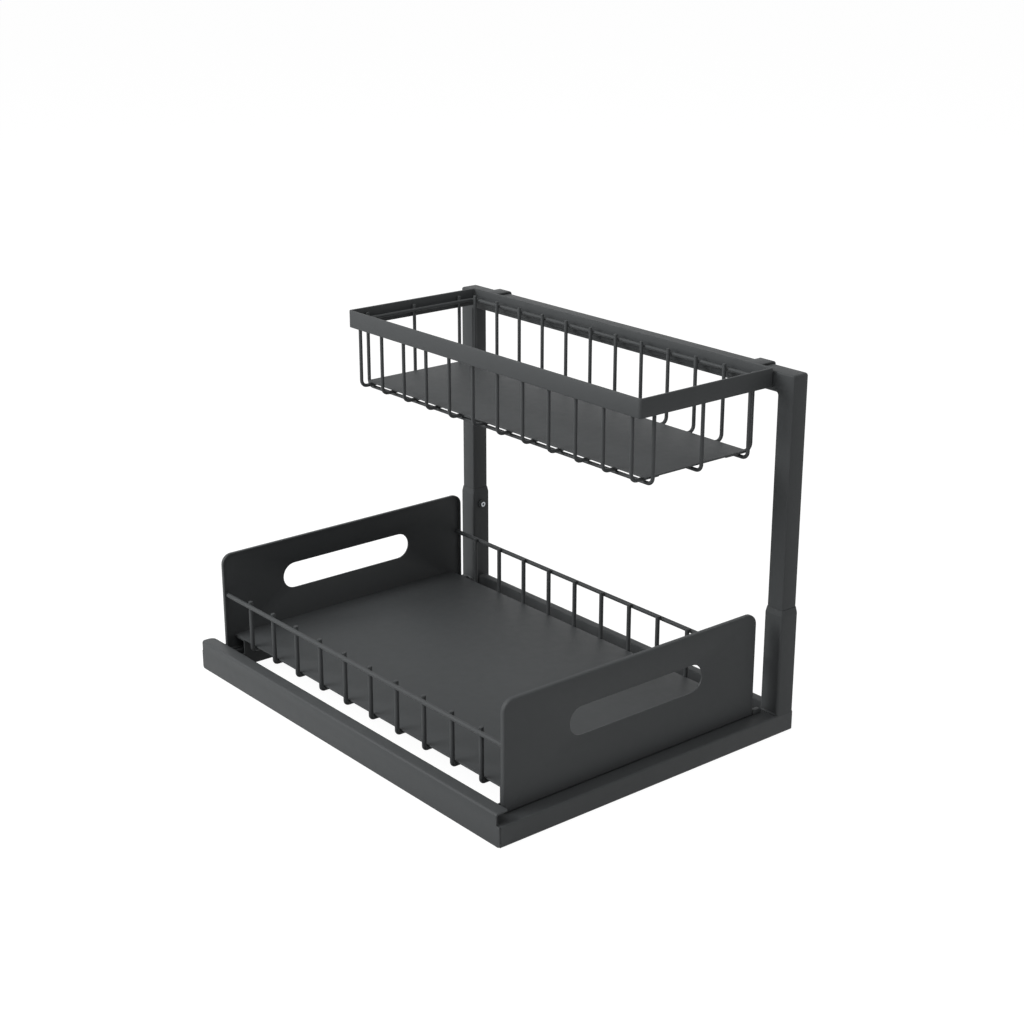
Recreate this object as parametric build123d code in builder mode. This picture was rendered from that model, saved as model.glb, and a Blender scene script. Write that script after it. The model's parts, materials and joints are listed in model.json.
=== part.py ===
from build123d import *
import os

# Pull out cabinet basket: a low drawer on ball slides between two side rails, and a smaller
# basket that hangs from a gate at the rear. Millimetres, X across, Y front to rear, Z up.
# The origin lies on the shelf, in the middle of the closed part.

os.makedirs("parts", exist_ok=True)

# Overall sizes
width = 534.6  # over the side rails
frame_depth = 399.8  # handle's front face to the sleeves' rear faces
gate_height = 390.0  # top of the gate above the shelf

# Base frame
rail_width = 24.4
rail_height = 22.4
rail_wall = 1.5
rail_radius = 2.0
sleeve_size = 24.4
sleeve_radius = 2.5
sleeve_top = 140.0
sleeve_taper = 6.0  # height of the tapered mouth
mouth_wall = 0.4  # wall left at the mouth's rim
crossbar_depth = 9.8
crossbar_height = 25.8
crossbar_setback = 6.8  # behind the sleeves' front faces
crossbar_underside = 1.6
strip_width = 20.0
strip_thick = 2.5
front_strip_inset = 34.0  # strip's middle behind the handle's front face
rear_strip_inset = 59.8  # strip's middle ahead of the sleeves' rear faces
fixing_spacing = 300.0
fixing_hole_radius = 2.75
plug_length = 12.0
plug_clearance = 0.1
stop_length = 12.0
stop_thick = 5.0
stop_height = 5.6
stop_radius = 3.0
stop_gap = 0.5  # between the stop and the closed drawer

# Ball slides, measured inwards from the rail
slide_front = 44.0  # behind the handle's front face
slide_rear_gap = 3.5  # ahead of the side panel's rear edge
slide_bottom = 6.0
slide_height = 27.0
slide_depth = 12.9  # rail to runner bracket
slide_sheet = 1.2
slide_lip_gap = 1.4  # outer and middle flanges end this far from the runner bracket
middle_web_gap = 1.5  # room for the screw heads on the outer web
inner_lip_gap = 1.3  # inner flanges to the middle web
ball_radius = 1.5
ball_clearance = 0.05
ball_count = 8  # in a row
ball_pitch = 14.0
cage_sheet = 0.8
cage_width = 4.6
cage_end = 11.0  # beyond the last ball

# Drawer
handle_sheet = 1.8
handle_height = 34.6
handle_clearance = 0.6  # above the shelf
handle_lip = 15.0
handle_bend = 3.0
handle_lip_corners = (6.5, 2.5)  # left, right
handle_foot_chamfer = 2.0
handle_notch_right = 4.6
handle_notch_left = 1.0
rail_end_gap = 0.3  # handle's back to the rail's end
panel_sheet = 1.5
panel_inset = 17.0  # inside the rail's outer face
panel_front = 20.0
panel_rear_gap = 18.7  # ahead of the sleeve
panel_height = 115.7
panel_clearance = 0.4  # above the rail
panel_return = 5.3  # depth of the folded edge
panel_front_radius = 12.0
panel_rear_radius = 12.0
panel_foot_radius = 2.0
slot_length = 178.0
slot_height = 30.5
slot_middle_y = 190.0  # behind the handle's front face
slot_middle_z = 91.0
floor_sheet = 1.5
floor_gap = 5.3  # slide's top to the floor's underside
floor_edge_gap = 0.1  # end of the wires' bend to the floor's edge
guard_radius = 2.5  # the guards' rods and wires
rod_gap = 0.2  # panel's folded edge to the guard's rod
wire_bend = 3.2  # on the wire's middle line
wire_foot = 34.0  # length under the floor
guard_height = 93.0  # top of the front and rear rods
wire_rise = 1.0  # wires' tops above the rods
drawer_wire_count = 10
drawer_wire_margin = 44.05  # side panel to the first wire
bracket_sheet = 1.5
bracket_bottom = 7.5
arm_top = 22.0
handle_tab_width = 14.0
handle_tab_bottom = 7.5
handle_tab_top = 22.0
handle_tab_gap = 0.2

# Gate
post_size = 21.2
post_wall = 1.5
post_radius = 2.0
post_clearance = 0.1  # to the sleeve's bore, each side
post_foot_gap = 0.3
foot_flange = 2.0
foot_insert = 14.0

# Upper basket
rim_thick = 3.0
rim_height = 19.5
rim_rise = 3.2  # above the gate's top
rim_side_gap = 5.3  # to the posts
rim_corner = 4.0
basket_depth = 182.4
basket_height = 92.2
wire_radius = 2.0
upper_wire_count = 12
upper_wire_bend = 7.0
upper_wire_margin = 15.9  # rim's outer face to the first wire
wire_end_drop = 5.0  # wire ends below the rim's top
cross_wire_count = 3
cross_wire_margins = (23.2, 28.1)  # rim's outer faces to the first and last cross wire
rim_rod_drop = 11.0
rim_rod_corner = 6.0
upper_foot = 36.0
plate_sheet = 1.5
plate_wire_gap = 12.4  # upright wires to the plate
plate_side_gap = 8.2  # rim's outer face to the plate
plate_corner = 3.0
strap_width = 20.0
strap_thick = 2.5
strap_bend = 2.2  # outer radius
strap_inset = 19.6  # rim's outer face to the strap's outer edge
strap_drop = 16.0  # rear leg below the gate's top

# Fasteners
screw_radius = 2.0
screw_clearance = 0.05
screw_tail = 2.0
screw_head_radius = 3.4
low_head = 1.0
pan_head = 1.5
slide_screw_inset = 28.0
slide_screw_count = 3
outer_screw_height = 13.0
handle_screw_inset = 7.0
handle_screw_margin = 3.7
lock_height = 120.0
lock_radius = 3.0
lock_clearance = 0.05
lock_length = 5.0
lock_boss_radius = 5.0
lock_boss_length = 2.5
lock_tip_gap = 0.3
socket_across_flats = 3.0
socket_depth = 2.5

# Places that follow from the sizes
half = width / 2
post_inset = (sleeve_size - post_size) / 2
overall_depth = frame_depth - post_inset + strap_thick
front = -overall_depth / 2
sleeve_rear = front + frame_depth
sleeve_front = sleeve_rear - sleeve_size
sleeve_middle = sleeve_rear - sleeve_size / 2
rail_inner = half - rail_width
rail_front = front + handle_sheet + rail_end_gap
panel_outer = half - panel_inset
panel_inner = panel_outer - panel_sheet
panel_front_y = front + panel_front
panel_rear_y = sleeve_front - panel_rear_gap
panel_bottom = rail_height + panel_clearance
slide_y = (front + slide_front, panel_rear_y - slide_rear_gap)
slide_top = slide_bottom + slide_height
bracket_face = rail_inner - slide_depth
bracket_inner = bracket_face - bracket_sheet
floor_z = slide_top + floor_gap
foot_z = floor_z - guard_radius
rod_setback = panel_sheet + rod_gap + guard_radius
rod_y = (panel_front_y + rod_setback, panel_rear_y - rod_setback)
wire_y = (rod_y[0] + 2 * guard_radius, rod_y[1] - 2 * guard_radius)
floor_y = (wire_y[0] + wire_bend + floor_edge_gap, wire_y[1] - wire_bend - floor_edge_gap)
strip_middles = (front + front_strip_inset, sleeve_rear - rear_strip_inset)
post_outer = half - post_inset
post_inner = post_outer - post_size
post_y = (sleeve_front + post_inset, sleeve_rear - post_inset)
post_bottom = rail_height + post_foot_gap + foot_flange
rim_outer = post_inner - rim_side_gap
rim_y = (post_y[0] - basket_depth, post_y[0])
rim_top = gate_height + rim_rise
wire_inset = rim_thick + wire_radius
wire_top = rim_top - wire_end_drop
cross_z = rim_top - basket_height + wire_radius
upper_foot_z = cross_z + 2 * wire_radius
plate_z = upper_foot_z + wire_radius
rod_inset = wire_inset + 2 * wire_radius
upper_wire_y = (rim_y[0] + wire_inset, rim_y[1] - rod_inset - 2 * wire_radius)
plate_y = (upper_wire_y[0] + plate_wire_gap, upper_wire_y[1] - plate_wire_gap)
strap_middle = rim_outer - strap_inset - strap_width / 2
hole_radius = screw_radius + screw_clearance
sides = (("left", -1), ("right", 1))


def block(x, y, z, mode=Mode.ADD):
    """A block between two values on each axis."""
    with Locations((sum(x) / 2, sum(y) / 2, sum(z) / 2)):
        Box(abs(x[1] - x[0]), abs(y[1] - y[0]), abs(z[1] - z[0]), mode=mode)


def round_bar(start, end, radius, mode=Mode.ADD):
    """A round bar, or a bore, between two points."""
    run = Vector(*end) - Vector(*start)
    with Locations(Plane(origin=start, z_dir=run)):
        Cylinder(radius, run.length, align=(Align.CENTER, Align.CENTER, Align.MIN), mode=mode)


def along(start, direction, distance):
    """The point this far from a start."""
    return tuple(a + b * distance for a, b in zip(start, direction))


def screw(seat, direction, length, head):
    """A screw whose head lies on its seat."""
    round_bar(seat, along(seat, direction, length), screw_radius)
    round_bar(seat, along(seat, direction, -head), screw_head_radius)


def spread(low, high, count):
    """Evenly spaced values, with the first and last on the ends."""
    return [low + (high - low) * i / (count - 1) for i in range(count)]


def bent_wire(points, bend, radius):
    """One wire through the points, with a bend at each inner one."""
    with BuildPart() as wire:
        with BuildLine():
            route = FilletPolyline(*points, radius=bend)
        with BuildSketch(Plane(origin=route @ 0, z_dir=route % 0)):
            Circle(radius)
        sweep()
    return wire.part


def save(piece, name):
    """Name a finished piece and write it."""
    piece.part.label = name
    export_step(piece.part, f"parts/{name}.step")


# Screw places shared by the slides and what carries them
slide_screw_y = spread(slide_y[0] + slide_screw_inset, slide_y[1] - slide_screw_inset, slide_screw_count)
inner_screw_z = slide_bottom + slide_height / 2
handle_screw_y = front + handle_screw_inset
handle_screw_z = (handle_tab_bottom + handle_screw_margin, handle_tab_top - handle_screw_margin)


# ---------------------------------------------------------------- base frame
def side_rail(side, name):
    """Square tube along the shelf, with holes for its slide's screws."""
    with BuildPart() as rail:
        block((side * rail_inner, side * half), (rail_front, sleeve_rear), (0, rail_height))
        fillet(rail.edges().filter_by(Axis.Y), rail_radius)
        bore_x = (side * (rail_inner + rail_wall), side * (half - rail_wall))
        bore_z = (rail_wall, rail_height - rail_wall)
        block(bore_x, (rail_front, sleeve_rear), bore_z, mode=Mode.SUBTRACT)
        for y in slide_screw_y:
            start = (side * rail_inner, y, outer_screw_height)
            end = (side * (rail_inner + rail_wall), y, outer_screw_height)
            round_bar(start, end, hole_radius, mode=Mode.SUBTRACT)
    save(rail, name)


def post_sleeve(side, name):
    """Upright socket for a gate post, with a tapered mouth and a hole for the lock screw."""
    middle = side * (half - sleeve_size / 2)
    bore = post_size + 2 * post_clearance
    with BuildPart() as sleeve:
        with BuildSketch(Plane.XY.offset(rail_height)):
            with Locations((middle, sleeve_middle)):
                RectangleRounded(sleeve_size, sleeve_size, sleeve_radius)
        extrude(amount=sleeve_top - sleeve_taper - rail_height)
        with BuildSketch(Plane.XY.offset(sleeve_top - sleeve_taper)):
            with Locations((middle, sleeve_middle)):
                RectangleRounded(sleeve_size, sleeve_size, sleeve_radius)
        with BuildSketch(Plane.XY.offset(sleeve_top)):
            with Locations((middle, sleeve_middle)):
                RectangleRounded(bore + 2 * mouth_wall, bore + 2 * mouth_wall, sleeve_radius)
        loft()
        with BuildSketch(Plane.XY.offset(rail_height)):
            with Locations((middle, sleeve_middle)):
                RectangleRounded(bore, bore, post_radius)
        extrude(amount=sleeve_top - rail_height, mode=Mode.SUBTRACT)
        start = (side * rail_inner, sleeve_middle, lock_height)
        end = (middle, sleeve_middle, lock_height)
        round_bar(start, end, lock_radius + lock_clearance, mode=Mode.SUBTRACT)
    save(sleeve, name)


def lock_boss(side, name):
    """Welded nut on the sleeve's inner face."""
    start = (side * rail_inner, sleeve_middle, lock_height)
    end = (side * (rail_inner - lock_boss_length), sleeve_middle, lock_height)
    with BuildPart() as boss:
        round_bar(start, end, lock_boss_radius)
        round_bar(start, end, lock_radius + lock_clearance, mode=Mode.SUBTRACT)
    save(boss, name)


def rear_stop(side, name):
    """Rounded tab on the rail that the closed drawer stops against."""
    x = (side * panel_outer, side * (panel_outer - stop_thick))
    y = (panel_rear_y + stop_gap, panel_rear_y + stop_gap + stop_length)
    with BuildPart() as stop:
        block(x, y, (rail_height, rail_height + stop_height))
        fillet(stop.edges().filter_by(Axis.X).group_by(Axis.Z)[-1], stop_radius)
    save(stop, name)


def cross_strip(y, name):
    """Flat strip between the rails, with two holes for fixing the base to the shelf."""
    with BuildPart() as strip:
        block((-rail_inner, rail_inner), (y - strip_width / 2, y + strip_width / 2), (0, strip_thick))
        for x in (-fixing_spacing / 2, fixing_spacing / 2):
            round_bar((x, y, 0), (x, y, strip_thick), fixing_hole_radius, mode=Mode.SUBTRACT)
    save(strip, name)


with BuildPart() as rear_crossbar:
    bar_y = sleeve_front + crossbar_setback
    bar_z = (crossbar_underside, crossbar_underside + crossbar_height)
    block((-rail_inner, rail_inner), (bar_y, bar_y + crossbar_depth), bar_z)
save(rear_crossbar, "rear_crossbar")

with BuildPart() as rail_end_plugs:
    plug_x = (rail_inner + rail_wall + plug_clearance, half - rail_wall - plug_clearance)
    plug_z = (rail_wall + plug_clearance, rail_height - rail_wall - plug_clearance)
    for label, side in sides:
        x = (side * plug_x[0], side * plug_x[1])
        block(x, (rail_front, rail_front + plug_length), plug_z)
        block(x, (sleeve_rear - plug_length, sleeve_rear), plug_z)
save(rail_end_plugs, "rail_end_plugs")

cross_strip(strip_middles[0], "front_cross_strip")
cross_strip(strip_middles[1], "rear_cross_strip")
for label, side in sides:
    side_rail(side, f"side_rail_{label}")
    post_sleeve(side, f"post_sleeve_{label}")
    lock_boss(side, f"lock_boss_{label}")
    rear_stop(side, f"rear_stop_{label}")

# ---------------------------------------------------------------- ball slides
# Three channels inside each other; each race is as wide as a ball with its clearance.
race = 2 * (ball_radius + ball_clearance)
outer_inside = slide_bottom + slide_sheet
middle_outside = outer_inside + race
middle_inside = middle_outside + slide_sheet
inner_outside = middle_inside + race
middle_web = slide_sheet + middle_web_gap
flange_end = slide_depth - slide_lip_gap
inner_web = slide_depth - slide_sheet
inner_flange_end = middle_web + slide_sheet + inner_lip_gap


def channel(side, depths, bottom, name, screw_z=None):
    """A slide member: a channel whose web and lips lie at two depths from the rail."""
    web, lips = depths
    top = slide_bottom + slide_top - bottom
    away = 1 if lips > web else -1
    outer_x = (side * (rail_inner - web), side * (rail_inner - lips))
    inner_x = (side * (rail_inner - web - away * slide_sheet), outer_x[1])
    with BuildPart() as member:
        block(outer_x, slide_y, (bottom, top))
        block(inner_x, slide_y, (bottom + slide_sheet, top - slide_sheet), mode=Mode.SUBTRACT)
        if screw_z is not None:
            for y in slide_screw_y:
                start = (outer_x[0], y, screw_z)
                round_bar(start, (inner_x[0], y, screw_z), hole_radius, mode=Mode.SUBTRACT)
    save(member, name)


def ball_places(side, depth, low):
    """Centres of one cage's balls: a row in the lower race and one in the upper race."""
    middle = sum(slide_y) / 2
    reach = ball_pitch * (ball_count - 1) / 2
    x = side * (rail_inner - depth)
    rows = (low, slide_bottom + slide_top - low)
    return [(x, y, z) for z in rows for y in spread(middle - reach, middle + reach, ball_count)]


def balls(side, depth, low, name):
    """Steel balls of one cage."""
    with BuildPart() as ball_set:
        with Locations(*ball_places(side, depth, low)):
            Sphere(ball_radius)
    save(ball_set, name)


def cage(side, depth, low, name):
    """Two strips that keep the balls of one stage apart."""
    middle = sum(slide_y) / 2
    reach = ball_pitch * (ball_count - 1) / 2 + cage_end
    x = (side * (rail_inner - depth + cage_width / 2), side * (rail_inner - depth - cage_width / 2))
    with BuildPart() as strips:
        for z in (low, slide_bottom + slide_top - low):
            block(x, (middle - reach, middle + reach), (z - cage_sheet / 2, z + cage_sheet / 2))
        for place in ball_places(side, depth, low):
            start = along(place, (0, 0, 1), -cage_sheet / 2)
            end = along(place, (0, 0, 1), cage_sheet / 2)
            round_bar(start, end, ball_radius + ball_clearance, mode=Mode.SUBTRACT)
    save(strips, name)


outer_ball_depth = (middle_web + flange_end) / 2
inner_ball_depth = (inner_flange_end + flange_end) / 2
outer_ball_z = outer_inside + race / 2
inner_ball_z = middle_inside + race / 2
for label, side in sides:
    channel(side, (0, flange_end), slide_bottom, f"slide_outer_{label}", outer_screw_height)
    channel(side, (middle_web, flange_end), middle_outside, f"slide_middle_{label}")
    channel(side, (slide_depth, inner_flange_end), inner_outside, f"slide_inner_{label}", inner_screw_z)
    balls(side, outer_ball_depth, outer_ball_z, f"outer_balls_{label}")
    balls(side, inner_ball_depth, inner_ball_z, f"inner_balls_{label}")
    cage(side, outer_ball_depth, outer_ball_z, f"outer_ball_cage_{label}")
    cage(side, inner_ball_depth, inner_ball_z, f"inner_ball_cage_{label}")

with BuildPart() as outer_slide_screws:
    for label, side in sides:
        for y in slide_screw_y:
            seat = (side * (rail_inner - slide_sheet), y, outer_screw_height)
            screw(seat, (side, 0, 0), slide_sheet + rail_wall + screw_tail, low_head)
save(outer_slide_screws, "outer_slide_screws")

with BuildPart() as inner_slide_screws:
    for label, side in sides:
        for y in slide_screw_y:
            seat = (side * bracket_inner, y, inner_screw_z)
            screw(seat, (side, 0, 0), bracket_sheet + slide_sheet + screw_tail, pan_head)
save(inner_slide_screws, "inner_slide_screws")

# ---------------------------------------------------------------- drawer
with BuildPart() as handle_rail:
    back = front + handle_sheet
    under = handle_height - handle_sheet
    lip_end = front + handle_lip
    with BuildSketch(Plane.YZ.offset(-half)) as section:
        with BuildLine():
            Polyline(
                (front, handle_clearance),
                (front, handle_height),
                (lip_end, handle_height),
                (lip_end, under),
                (back, under),
                (back, handle_clearance),
                close=True,
            )
        make_face()
        fillet(section.vertices().sort_by_distance((front, handle_height))[0], handle_bend)
        fillet(section.vertices().sort_by_distance((back, under))[0], handle_bend - handle_sheet)
    extrude(amount=width)
    for side, notch in ((-1, handle_notch_left), (1, handle_notch_right)):
        end_x = (side * (half - notch), side * half)
        block(end_x, (front, lip_end), (rail_height, handle_height), mode=Mode.SUBTRACT)
    for end, radius in zip((0, -1), handle_lip_corners):
        lip_ends = handle_rail.edges().filter_by(Axis.Z).group_by(Axis.Y)[-1]
        fillet(lip_ends.sort_by(Axis.X)[end], radius)
    feet = handle_rail.edges().filter_by(Axis.Y).group_by(Axis.Z)[0]
    chamfer(feet, handle_foot_chamfer)
save(handle_rail, "handle_rail")


def panel_face(x, inset):
    """Outline of a side panel, drawn inset by a sheet's thickness for the inside of its folds."""
    length = panel_rear_y - panel_front_y - 2 * inset
    height = panel_height - 2 * inset
    with BuildSketch(Plane.YZ.offset(x)) as face:
        with Locations(((panel_front_y + panel_rear_y) / 2, panel_bottom + panel_height / 2)):
            Rectangle(length, height)
        fillet(face.vertices().group_by(Axis.Y)[0], panel_foot_radius - inset)
        fillet(face.vertices().group_by(Axis.Y)[-1].sort_by(Axis.X)[0], panel_front_radius - inset)
        fillet(face.vertices().group_by(Axis.Y)[-1].sort_by(Axis.X)[-1], panel_rear_radius - inset)
    return face.sketch


def side_panel(side, name):
    """Sheet panel with its edges folded inwards and a long hand slot."""
    folded = panel_face(side * panel_outer, 0)
    hollow = panel_face(side * panel_inner, panel_sheet)
    with BuildPart() as panel:
        extrude(folded, amount=-side * panel_return)
        extrude(hollow, amount=-side * panel_return, mode=Mode.SUBTRACT)
        with BuildSketch(Plane.YZ.offset(side * panel_outer)):
            with Locations((front + slot_middle_y, slot_middle_z)):
                SlotOverall(slot_length, slot_height)
        extrude(amount=-side * panel_return, mode=Mode.SUBTRACT)
    save(panel, name)


def runner_bracket(side, name):
    """Folded runner under the floor that carries the slide's inner member and the handle."""
    web_x = (side * bracket_face, side * bracket_inner)
    arm_y = front + handle_sheet + handle_tab_gap
    with BuildPart() as bracket:
        block(web_x, floor_y, (bracket_bottom, floor_z))
        block((side * bracket_inner, side * panel_inner), floor_y, (floor_z - bracket_sheet, floor_z))
        block(web_x, (arm_y, floor_y[0]), (bracket_bottom, arm_top))
        for y in slide_screw_y:
            start = (side * bracket_face, y, inner_screw_z)
            round_bar(start, (side * bracket_inner, y, inner_screw_z), hole_radius, mode=Mode.SUBTRACT)
        for z in handle_screw_z:
            start = (side * bracket_face, handle_screw_y, z)
            round_bar(start, (side * bracket_inner, handle_screw_y, z), hole_radius, mode=Mode.SUBTRACT)
    save(bracket, name)


def handle_bracket(side, name):
    """Angle behind the handle, screwed to the runner bracket's arm."""
    tab_inner = bracket_inner - bracket_sheet
    z = (handle_tab_bottom, handle_tab_top)
    back = front + handle_sheet
    with BuildPart() as bracket:
        block((side * bracket_inner, side * tab_inner), (back, front + 2 * handle_screw_inset), z)
        tab_x = (side * bracket_inner, side * (tab_inner - handle_tab_width))
        block(tab_x, (back, back + bracket_sheet), z)
        for height in handle_screw_z:
            start = (side * bracket_inner, handle_screw_y, height)
            round_bar(start, (side * tab_inner, handle_screw_y, height), hole_radius, mode=Mode.SUBTRACT)
    save(bracket, name)


def top_rod(y, name):
    """Rod across the top of a guard, between the side panels."""
    z = guard_height - guard_radius
    with BuildPart() as rod:
        round_bar((-panel_inner, y, z), (panel_inner, y, z), guard_radius)
    save(rod, name)


def guard_wires(y, inwards, name):
    """Upright wires whose feet turn in under the floor."""
    top = guard_height + wire_rise
    route = [(0, y, top), (0, y, foot_z), (0, y + inwards * wire_foot, foot_z)]
    wire = bent_wire(route, wire_bend, guard_radius)
    reach = panel_inner - drawer_wire_margin
    with BuildPart() as wires:
        with Locations(*[(x, 0, 0) for x in spread(-reach, reach, drawer_wire_count)]):
            add(wire)
    save(wires, name)


with BuildPart() as drawer_floor:
    block((-panel_inner, panel_inner), floor_y, (floor_z, floor_z + floor_sheet))
save(drawer_floor, "drawer_floor")

top_rod(rod_y[0], "front_top_rod")
top_rod(rod_y[1], "rear_top_rod")
guard_wires(wire_y[0], 1, "drawer_front_wires")
guard_wires(wire_y[1], -1, "drawer_rear_wires")
for label, side in sides:
    side_panel(side, f"side_panel_{label}")
    runner_bracket(side, f"runner_bracket_{label}")
    handle_bracket(side, f"handle_bracket_{label}")

with BuildPart() as handle_screws:
    for label, side in sides:
        for z in handle_screw_z:
            seat = (side * (bracket_inner - bracket_sheet), handle_screw_y, z)
            screw(seat, (side, 0, 0), 2 * bracket_sheet + screw_tail, pan_head)
save(handle_screws, "handle_screws")


# ---------------------------------------------------------------- gate
def mitred_tube(outline, bore, name, edge_axis):
    """Square tube from its outline and bore in the gate's plane, with mitred ends."""
    with BuildPart() as tube:
        with BuildSketch(Plane.XZ.offset(-post_y[1])):
            with BuildLine():
                Polyline(*outline, close=True)
            make_face()
        extrude(amount=post_size)
        fillet(tube.edges().filter_by(edge_axis), post_radius)
        with BuildSketch(Plane.XZ.offset(-post_y[1] + post_wall)):
            with BuildLine():
                Polyline(*bore, close=True)
            make_face()
        extrude(amount=post_size - 2 * post_wall, mode=Mode.SUBTRACT)
    save(tube, name)


bar_under = gate_height - post_size
wall_in = (post_inner + post_wall, post_outer - post_wall)
for label, side in sides:
    post_outline = [
        (side * post_outer, post_bottom),
        (side * post_outer, gate_height),
        (side * post_inner, bar_under),
        (side * post_inner, post_bottom),
    ]
    post_bore = [
        (side * wall_in[1], post_bottom),
        (side * wall_in[1], gate_height - post_wall),
        (side * wall_in[0], bar_under + post_wall),
        (side * wall_in[0], post_bottom),
    ]
    mitred_tube(post_outline, post_bore, f"gate_post_{label}", Axis.Z)

bar_outline = [
    (-post_outer, gate_height),
    (post_outer, gate_height),
    (post_inner, bar_under),
    (-post_inner, bar_under),
]
bar_bore = [
    (-wall_in[1], gate_height - post_wall),
    (wall_in[1], gate_height - post_wall),
    (wall_in[0], bar_under + post_wall),
    (-wall_in[0], bar_under + post_wall),
]
mitred_tube(bar_outline, bar_bore, "gate_top_bar", Axis.X)

with BuildPart() as post_foot_plugs:
    insert = post_size - 2 * post_wall - 2 * plug_clearance
    for label, side in sides:
        middle = side * (half - sleeve_size / 2)
        with BuildSketch(Plane.XY.offset(post_bottom)):
            with Locations((middle, sleeve_middle)):
                Rectangle(insert, insert)
        extrude(amount=foot_insert)
        with BuildSketch(Plane.XY.offset(post_bottom - foot_flange)):
            with Locations((middle, sleeve_middle)):
                RectangleRounded(post_size, post_size, post_radius)
        extrude(amount=foot_flange)
save(post_foot_plugs, "post_foot_plugs")

# ---------------------------------------------------------------- lock screws
tip_x = post_inner - lock_tip_gap
tail_x = tip_x - lock_length
for label, side in sides:
    tip = (side * tip_x, sleeve_middle, lock_height)
    tail = (side * tail_x, sleeve_middle, lock_height)
    with BuildPart() as lock_screw:
        round_bar(tip, tail, lock_radius)
        with BuildSketch(Plane(origin=tail, z_dir=(side, 0, 0))):
            RegularPolygon(socket_across_flats / 2, 6, major_radius=False)
        extrude(amount=socket_depth, mode=Mode.SUBTRACT)
    save(lock_screw, f"lock_screw_{label}")

# ---------------------------------------------------------------- upper basket
rim_middle = sum(rim_y) / 2
with BuildPart() as upper_rim:
    with BuildSketch(Plane.XY.offset(rim_top - rim_height)):
        with Locations((0, rim_middle)):
            RectangleRounded(2 * rim_outer, basket_depth, rim_corner)
            RectangleRounded(
                2 * (rim_outer - rim_thick),
                basket_depth - 2 * rim_thick,
                rim_corner - rim_thick,
                mode=Mode.SUBTRACT,
            )
    extrude(amount=rim_height)
save(upper_rim, "upper_rim")

with BuildPart() as upper_rim_rod:
    rod_x = rim_outer - rod_inset
    rod_ys = (rim_y[0] + rod_inset, rim_y[1] - rod_inset)
    rod_z = rim_top - rim_rod_drop
    corners = [(-rod_x, rod_ys[0]), (rod_x, rod_ys[0]), (rod_x, rod_ys[1]), (-rod_x, rod_ys[1])]
    with BuildLine():
        ring = FilletPolyline(*[(x, y, rod_z) for x, y in corners], radius=rim_rod_corner, close=True)
    with BuildSketch(Plane(origin=ring @ 0, z_dir=ring % 0)):
        Circle(wire_radius)
    sweep()
save(upper_rim_rod, "upper_rim_rod")


def upper_wires(y, inwards, name):
    """Upright wires of the basket's front or rear, with feet under the plate."""
    foot_y = y + inwards * upper_foot
    route = [(0, y, wire_top), (0, y, upper_foot_z), (0, foot_y, upper_foot_z)]
    wire = bent_wire(route, upper_wire_bend, wire_radius)
    reach = rim_outer - upper_wire_margin
    with BuildPart() as wires:
        with Locations(*[(x, 0, 0) for x in spread(-reach, reach, upper_wire_count)]):
            add(wire)
    save(wires, name)


upper_wires(upper_wire_y[0], 1, "upper_front_wires")
upper_wires(upper_wire_y[1], -1, "upper_rear_wires")

cross_x = rim_outer - wire_inset
cross_wire = bent_wire(
    [(-cross_x, 0, wire_top), (-cross_x, 0, cross_z), (cross_x, 0, cross_z), (cross_x, 0, wire_top)],
    upper_wire_bend,
    wire_radius,
)
with BuildPart() as upper_cross_wires:
    cross_y = (rim_y[0] + cross_wire_margins[0], rim_y[1] - cross_wire_margins[1])
    with Locations(*[(0, y, 0) for y in spread(*cross_y, cross_wire_count)]):
        add(cross_wire)
save(upper_cross_wires, "upper_cross_wires")

with BuildPart() as upper_floor_plate:
    with BuildSketch(Plane.XY.offset(plate_z)):
        with Locations((0, sum(plate_y) / 2)):
            RectangleRounded(2 * (rim_outer - plate_side_gap), plate_y[1] - plate_y[0], plate_corner)
    extrude(amount=plate_sheet)
save(upper_floor_plate, "upper_floor_plate")

for label, side in sides:
    strap_x = (side * (strap_middle - strap_width / 2), side * (strap_middle + strap_width / 2))
    with BuildPart() as hook_strap:
        rear_face = post_y[1] + strap_thick
        top_z = gate_height + strap_thick
        block(strap_x, (post_y[0], rear_face), (gate_height, top_z))
        block(strap_x, (post_y[1], rear_face), (gate_height - strap_drop, gate_height))
        outer_bend = hook_strap.edges().filter_by(Axis.X).sort_by_distance((0, rear_face, top_z))[0]
        fillet(outer_bend, strap_bend)
    save(hook_strap, f"hook_strap_{label}")
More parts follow.
